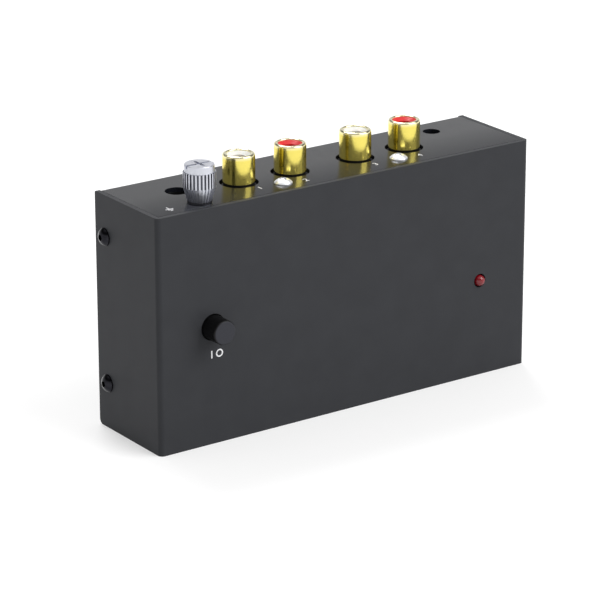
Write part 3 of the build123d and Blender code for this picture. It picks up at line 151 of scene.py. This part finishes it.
class Look:
    """A material being made: its nodes, its Principled shader and the object's own coordinates."""

    def __init__(self, name, colour, roughness, metallic=0.0, **fixed):
        self.name = name
        self.material = bpy.data.materials.new(name)
        self.material.use_nodes = True
        self.tree = self.material.node_tree
        self.nodes = self.tree.nodes
        self.links = self.tree.links
        self.shader = self.nodes["Principled BSDF"]
        self.place = self.nodes.new("ShaderNodeTexCoord").outputs["Object"]
        self.last_bump = None
        self.shader.inputs["Base Color"].default_value = colour
        self.shader.inputs["Roughness"].default_value = roughness
        self.shader.inputs["Metallic"].default_value = metallic
        for socket, value in fixed.items():
            self.shader.inputs[socket.replace("_", " ")].default_value = value

    def stretched(self, stretch):
        """Object coordinates, scaled along each axis."""
        mapping = self.nodes.new("ShaderNodeMapping")
        mapping.inputs["Scale"].default_value = stretch
        self.links.new(self.place, mapping.inputs["Vector"])
        return mapping.outputs["Vector"]

    def noise(self, grain, stretch=(1, 1, 1), detail=2.0):
        """Noise whose features are about grain millimetres across."""
        noise = self.nodes.new("ShaderNodeTexNoise")
        noise.inputs["Scale"].default_value = 1 / (grain * MM)
        noise.inputs["Detail"].default_value = detail
        self.links.new(self.stretched(stretch), noise.inputs["Vector"])
        return noise.outputs["Fac"]

    def ramp(self, value, low, high, start=0.3, end=0.7):
        """Goes from low to high while value goes from start to end."""
        carry = self.nodes.new("ShaderNodeMapRange")
        limits = {"From Min": start, "From Max": end, "To Min": low, "To Max": high}
        for socket, number in limits.items():
            carry.inputs[socket].default_value = number
        self.links.new(value, carry.inputs["Value"])
        return carry.outputs["Result"]

    def tint(self, value, low, high):
        """Base colour from one colour to another by value."""
        mix = self.nodes.new("ShaderNodeMix")
        mix.data_type = "RGBA"
        mix.inputs["A"].default_value = low
        mix.inputs["B"].default_value = high
        self.links.new(value, mix.inputs["Factor"])
        self.links.new(mix.outputs["Result"], self.shader.inputs["Base Color"])
        return self

    def along(self, axis, start, end):
        """0 to 1 from start to end, in millimetres along one of the object's axes."""
        split = self.nodes.new("ShaderNodeSeparateXYZ")
        self.links.new(self.place, split.inputs["Vector"])
        return self.ramp(split.outputs[axis], 0, 1, start * MM, end * MM)

    def away(self, x, y, start, end):
        """0 to 1 from start to end, in millimetres away from an upright axis at x, y."""
        offset = self.nodes.new("ShaderNodeVectorMath")
        offset.operation = "MULTIPLY_ADD"
        offset.inputs[1].default_value = (1, 1, 0)
        offset.inputs[2].default_value = (-x * MM, -y * MM, 0)
        self.links.new(self.place, offset.inputs[0])
        length = self.nodes.new("ShaderNodeVectorMath")
        length.operation = "LENGTH"
        self.links.new(offset.outputs["Vector"], length.inputs[0])
        return self.ramp(length.outputs["Value"], 0, 1, start * MM, end * MM)

    def mottle(self, grain, spread, stretch=(1, 1, 1)):
        """Base colour a little lighter and darker from place to place."""
        colour = self.shader.inputs["Base Color"].default_value[:3]
        low = tuple(c * (1 - spread) for c in colour) + (1.0,)
        high = tuple(min(c * (1 + spread), 1.0) for c in colour) + (1.0,)
        return self.tint(self.ramp(self.noise(grain, stretch), 0, 1), low, high)

    def gloss(self, grain, low, high, stretch=(1, 1, 1)):
        """Roughness that varies between two values."""
        self.links.new(self.ramp(self.noise(grain, stretch), low, high), self.shader.inputs["Roughness"])
        return self

    def bump(self, grain, depth, stretch=(1, 1, 1), detail=2.0):
        """Surface relief of depth millimetres."""
        return self.relief(self.noise(grain, stretch, detail), depth)

    def crown(self, axis, start, end, depth):
        """Relief that falls by depth millimetres from start to end, steepest at the end."""
        square = self.nodes.new("ShaderNodeMath")
        square.operation = "POWER"
        square.inputs[1].default_value = 2.0
        self.links.new(self.along(axis, start, end), square.inputs[0])
        return self.relief(square.outputs[0], -depth)

    def relief(self, height, depth):
        """Height as surface relief of depth millimetres, laid over any earlier relief."""
        bump = self.nodes.new("ShaderNodeBump")
        bump.inputs["Strength"].default_value = 1.0
        bump.inputs["Distance"].default_value = abs(depth) * MM
        bump.invert = depth < 0
        self.links.new(height, bump.inputs["Height"])
        if self.last_bump:
            self.links.new(self.last_bump, bump.inputs["Normal"])
        self.last_bump = bump.outputs["Normal"]
        self.links.new(self.last_bump, self.shader.inputs["Normal"])
        return self


def coat_looks():
    return [
        Look("panel_coat", srgb(23, 25, 31), 0.2, Specular_IOR_Level=0.5)
        .mottle(6, 0.05).gloss(3, 0.17, 0.23)
        .crown("Y", CROWN_START_Y, COVER_Y, CROWN_FALL).bump(0.7, 0.0005),
        Look("case_coat", srgb(57, 58, 61), 0.4, Specular_IOR_Level=0.09)
        .mottle(6, 0.04).gloss(3, 0.37, 0.44).bump(0.7, 0.001),
        Look("black_steel", srgb(40, 40, 44), 0.12, metallic=1.0)
        .mottle(0.8, 0.2).gloss(0.6, 0.08, 0.14).bump(0.3, 0.0005),
        Look("foot_rubber", srgb(28, 28, 29), 0.75)
        .mottle(0.5, 0.2).gloss(1, 0.65, 0.85).bump(0.25, 0.02),
        Look("board_green", srgb(16, 74, 44), 0.25, Coat_Weight=0.3)
        .mottle(2.5, 0.35, (1, 1, 4)).bump(0.8, 0.01),
    ]


def metal_looks():
    return [
        Look("plated_steel", srgb(190, 190, 184), 0.3, metallic=1.0)
        .mottle(1.5, 0.12).gloss(0.8, 0.22, 0.4).bump(0.1, 0.001),
        Look("contact_copper", srgb(205, 150, 95), 0.3, metallic=1.0)
        .mottle(0.8, 0.15).gloss(0.5, 0.22, 0.4).bump(0.1, 0.001),
        Look("tinned_lead", srgb(205, 204, 200), 0.28, metallic=1.0)
        .mottle(0.7, 0.12).gloss(0.4, 0.2, 0.4).bump(0.15, 0.002),
        thumb_look(),
        Look("satin_nickel", srgb(238, 239, 242), 0.4, metallic=0.85)
        .mottle(1, 0.04).gloss(0.7, 0.35, 0.46).bump(0.2, 0.0006),
        # the ground washer under the thumb screw: its near-black metal is painted shade, standing for the contact
        # shadow under the collar
        Look("washer_dark", srgb(70, 70, 74), 0.35, metallic=1.0)
        .mottle(0.6, 0.15).gloss(0.5, 0.28, 0.45).bump(0.15, 0.002),
        gold_look(),
    ]


def thumb_look():
    """Bright steel, with painted shade at the bottom of the grip's flutes."""
    bright = srgb(204, 206, 214)
    look = Look("bright_steel", bright, 0.34, metallic=0.92).gloss(0.7, 0.3, 0.4)
    ridges = look.away(*THUMB_AXIS, FLUTE_SHADE_RADIUS, FLUTE_UNSHADED_RADIUS)
    below = look.along("Z", GRIP_LOW_Z, GRIP_LOW_Z - GRIP_LOW_FADE)
    above = look.along("Z", GRIP_HIGH_Z - GRIP_HIGH_FADE, GRIP_HIGH_Z)
    # painted shade: the grip's flute bottoms are tinted dark, while the ridges and both ends of the grip keep the
    # bright steel
    unshaded = largest_of(look.tree, [ridges, below, above])
    return look.tint(unshaded, srgb(84, 86, 94), bright).bump(0.25, 0.0008)


def gold_look():
    """Pale gold plate, turned, with a painted highlight that whitens its top edge."""
    gold = srgb(232, 215, 108)
    look = Look("gold_shell", gold, 0.16, metallic=1.0).gloss(0.5, 0.12, 0.2)
    # painted highlight: the gold is tinted towards white over the band below the shell's top edge
    rim_highlight = look.along("Z", SHELL_TOP_Z - SHELL_RIM_HIGHLIGHT_BAND, SHELL_TOP_Z)
    return look.tint(rim_highlight, gold, srgb(246, 240, 206)).bump(0.05, 0.004, (0, 0, 1), 1.0)


def button_look():
    """Black plastic, with the end face painted a lighter grey as light falls on it."""
    black = srgb(9, 9, 10)
    look = Look("button_black", black, 0.45, Specular_IOR_Level=0.2).gloss(0.5, 0.4, 0.52)
    # painted light: the end face is tinted lighter than the black side
    end = look.along("Y", BUTTON_END_Y + BUTTON_END_LIGHT_BAND, BUTTON_END_Y)
    return look.tint(end, black, srgb(50, 51, 57)).bump(0.12, 0.003)


def plastic_looks():
    return [
        button_look(),
        Look("switch_plastic", srgb(40, 40, 42), 0.5)
        .mottle(1, 0.1).bump(0.2, 0.004),
        Look("lamp_red", srgb(124, 6, 20), 0.14, Specular_IOR_Level=0.6)
        .mottle(0.8, 0.12).bump(0.5, 0.001),
        Look("jack_black", srgb(13, 13, 14), 0.5, Specular_IOR_Level=0.25)
        .mottle(1, 0.15).gloss(1, 0.42, 0.58).bump(0.2, 0.003),
        Look("capacitor_sleeve", srgb(28, 34, 58), 0.28)
        .mottle(3, 0.15).gloss(2, 0.22, 0.36).bump(1.2, 0.01),
        Look("film_box", srgb(176, 38, 28), 0.35)
        .mottle(1.5, 0.1).gloss(1, 0.3, 0.42).bump(0.5, 0.006),
        Look("chip_black", srgb(30, 30, 31), 0.55)
        .mottle(0.5, 0.15).gloss(0.4, 0.5, 0.65).bump(0.1, 0.006),
        Look("resistor_blue", srgb(96, 150, 186), 0.35)
        .mottle(0.35, 0.25, (1, 0.05, 0.05)).bump(0.5, 0.01),
        Look("insulator_white", srgb(222, 220, 214), 0.35, Subsurface_Weight=0.1, Subsurface_Scale=0.001)
        .mottle(1, 0.03).bump(0.4, 0.003),
        Look("insulator_red", srgb(205, 32, 34), 0.35)
        .mottle(1, 0.06).gloss(0.6, 0.3, 0.4).bump(0.4, 0.003),
    ]


def dress_nodes():
    """Each CAD node takes the finish of its slot in the record, or its own from OWN_LOOKS."""
    looks = coat_looks() + metal_looks() + plastic_looks()
    materials = {look.name: look.material for look in looks}
    for part in frame["record"]["subparts"]:
        slots = NODES[part["node"]].data.materials
        slots.clear()
        slots.append(materials[OWN_LOOKS.get(part["node"], part["material_slot"])])


# ================================================================== stage
def make_camera():
    """The photograph's camera: a long lens, turned by azimuth, elevation and roll."""
    flat = math.cos(CAMERA_ELEVATION)
    back = Vector((
        math.sin(CAMERA_AZIMUTH) * flat,
        -math.cos(CAMERA_AZIMUTH) * flat,
        math.sin(CAMERA_ELEVATION),
    ))
    level = (-back).cross(Vector((0, 0, 1))).normalized()
    rise = level.cross(-back)
    right = level * math.cos(CAMERA_ROLL) + rise * math.sin(CAMERA_ROLL)
    up = rise * math.cos(CAMERA_ROLL) - level * math.sin(CAMERA_ROLL)
    data = bpy.data.cameras.new("camera")
    data.lens = CAMERA_LENS
    data.sensor_width = CAMERA_SENSOR
    data.clip_end = CAMERA_FAR
    camera = bpy.data.objects.new("camera", data)
    turn = Matrix((right, up, back)).transposed().to_4x4()
    camera.matrix_world = Matrix.Translation(CAMERA_PLACE) @ turn
    bpy.context.scene.collection.objects.link(camera)
    bpy.context.scene.camera = camera


def seen_rays(tree):
    """1 for camera, glossy and transmission rays, 0 for the rest."""
    path = tree.nodes.new("ShaderNodeLightPath")
    rays = ("Is Camera Ray", "Is Glossy Ray", "Is Transmission Ray")
    return largest_of(tree, [path.outputs[ray] for ray in rays])


def make_world():
    """An even dome for the light, and a graded backdrop for the camera, metal and glass to see."""
    world = bpy.data.worlds.new("studio")
    bpy.context.scene.world = world
    world.use_nodes = True
    tree = world.node_tree
    background = tree.nodes["Background"]
    strength = tree.nodes.new("ShaderNodeMix")
    strength.data_type = "RGBA"
    strength.inputs["A"].default_value = grey(DOME_LEVEL)
    tree.links.new(seen_rays(tree), strength.inputs["Factor"])
    tree.links.new(backdrop(tree), strength.inputs["B"])
    tree.links.new(strength.outputs["Result"], background.inputs["Color"])


def backdrop(tree):
    """White from the horizon to a little above it, dark half way up, and white overhead."""
    place = tree.nodes.new("ShaderNodeTexCoord")
    split = tree.nodes.new("ShaderNodeSeparateXYZ")
    ramp = tree.nodes.new("ShaderNodeValToRGB")
    tree.links.new(place.outputs["Generated"], split.inputs["Vector"])
    tree.links.new(split.outputs["Z"], ramp.inputs["Fac"])
    stops = ramp.color_ramp.elements
    while len(stops) < len(BACKDROP):
        stops.new(1.0)
    for stop, (height, level) in zip(stops, BACKDROP):
        stop.position = height
        stop.color = grey(level)
    return ramp.outputs["Color"]


def make_floor():
    """A plain pale floor that shows as white and keeps the object's shadow."""
    bpy.ops.mesh.primitive_plane_add(size=FLOOR_SIZE)
    floor = bpy.context.object
    floor.name = "floor"
    material = bpy.data.materials.new("floor")
    material.use_nodes = True
    tree = material.node_tree
    shader = tree.nodes["Principled BSDF"]
    shader.inputs["Base Color"].default_value = grey(FLOOR_COLOUR)
    shader.inputs["Roughness"].default_value = FLOOR_ROUGHNESS
    shader.inputs["Specular IOR Level"].default_value = 0.0
    shader.inputs["Emission Color"].default_value = grey(1.0)
    glow = tree.nodes.new("ShaderNodeMath")
    glow.operation = "MULTIPLY"
    glow.inputs[1].default_value = FLOOR_OWN_LIGHT
    tree.links.new(seen_rays(tree), glow.inputs[0])
    tree.links.new(glow.outputs[0], shader.inputs["Emission Strength"])
    floor.data.materials.append(material)


def make_lamp(name, place, size, power):
    """A soft square lamp aimed at the middle of the object."""
    data = bpy.data.lights.new(name, "AREA")
    data.size = size
    data.energy = power
    lamp = bpy.data.objects.new(name, data)
    lamp.location = place
    lamp.rotation_euler = (AIM - place).to_track_quat("-Z", "Y").to_euler()
    bpy.context.scene.collection.objects.link(lamp)


# ================================================================== pieces
def add_spring():
    """The power switch's spring, which shortens as the button goes in on the real switch, copied to a mesh of its
    own that rides on the case.
    """
    node = NODES["switch_spring"]
    spring = bpy.data.objects.new("shortening_spring", node.data.copy())
    spring.matrix_world = node.matrix_world
    bpy.context.scene.collection.objects.link(spring)
    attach(spring, "case")
    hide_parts("switch_spring")
    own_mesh(spring)


# ================================================================== marks
def finish_mark(mark, ink, place):
    """Lays a mark in its place, as a thin print that rides on the case."""
    mark.matrix_world = place
    bpy.context.scene.collection.objects.link(mark)
    mark.data.extrude = INK / 2 * MM
    mark.data.materials.append(ink)
    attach(mark, "case")


def on_panel(x, y):
    """The place of a mark that lies on the connector panel at x, y."""
    return Matrix.Translation(Vector((x, y, PANEL_Z + INK / 2)) * MM)


def on_cover(x, z):
    """The place of a mark that stands on the broad face at x, z."""
    move = Matrix.Translation(Vector((x, COVER_Y - INK / 2, z)) * MM)
    return move @ Matrix.Rotation(math.pi / 2, 4, "X")


def add_numeral(text, ink):
    """A plain numeral printed beside a socket."""
    data = bpy.data.curves.new("numeral_" + text, "FONT")
    data.body = text
    data.size = NUMERAL_SIZE * MM
    data.align_x = "CENTER"
    data.align_y = "CENTER"
    finish_mark(bpy.data.objects.new("numeral_" + text, data), ink, on_panel(*NUMERALS[text]))


def add_figure(name, outlines, ink, place):
    """A flat figure filled between its closed outlines, in millimetres."""
    data = bpy.data.curves.new(name, "CURVE")
    data.dimensions = "2D"
    data.fill_mode = "BOTH"
    for outline in outlines:
        spline = data.splines.new("POLY")
        spline.points.add(len(outline) - 1)
        for point, (x, y) in zip(spline.points, outline):
            point.co = (x * MM, y * MM, 0, 1)
        spline.use_cyclic_u = True
    finish_mark(bpy.data.objects.new(name, data), ink, place)


def rectangle(x, y, width, height):
    """The corners of a rectangle centred on x, y."""
    right, up = width / 2, height / 2
    return [(x - right, y - up), (x + right, y - up), (x + right, y + up), (x - right, y + up)]


def circle(x, y, radius):
    """Points round a circle."""
    turns = [2 * math.pi * step / RING_STEPS for step in range(RING_STEPS)]
    return [(x + radius * math.cos(turn), y + radius * math.sin(turn)) for turn in turns]


def add_marks():
    """Numerals at the sockets, on and off under the button, and earth by the thumb screw."""
    ink = Look("white_ink", srgb(240, 240, 242), 0.5).mottle(0.3, 0.05).bump(0.1, 0.002).material
    for text in NUMERALS:
        add_numeral(text, ink)
    on_off = [rectangle(*ON_BAR)] + [circle(*OFF_RING, radius) for radius in OFF_RADII]
    add_figure("on_off_mark", on_off, ink, on_cover(*BUTTON_MARK))
    earth = [rectangle(*bar) for bar in GROUND_BARS]
    add_figure("ground_mark", earth, ink, on_panel(*GROUND_MARK))


make_camera()
make_world()
make_floor()
for name, (place, size, power) in LAMPS.items():
    make_lamp(name, place, size, power)
dress_nodes()
add_spring()
add_marks()

bpy.context.scene.view_settings.view_transform = "Standard"
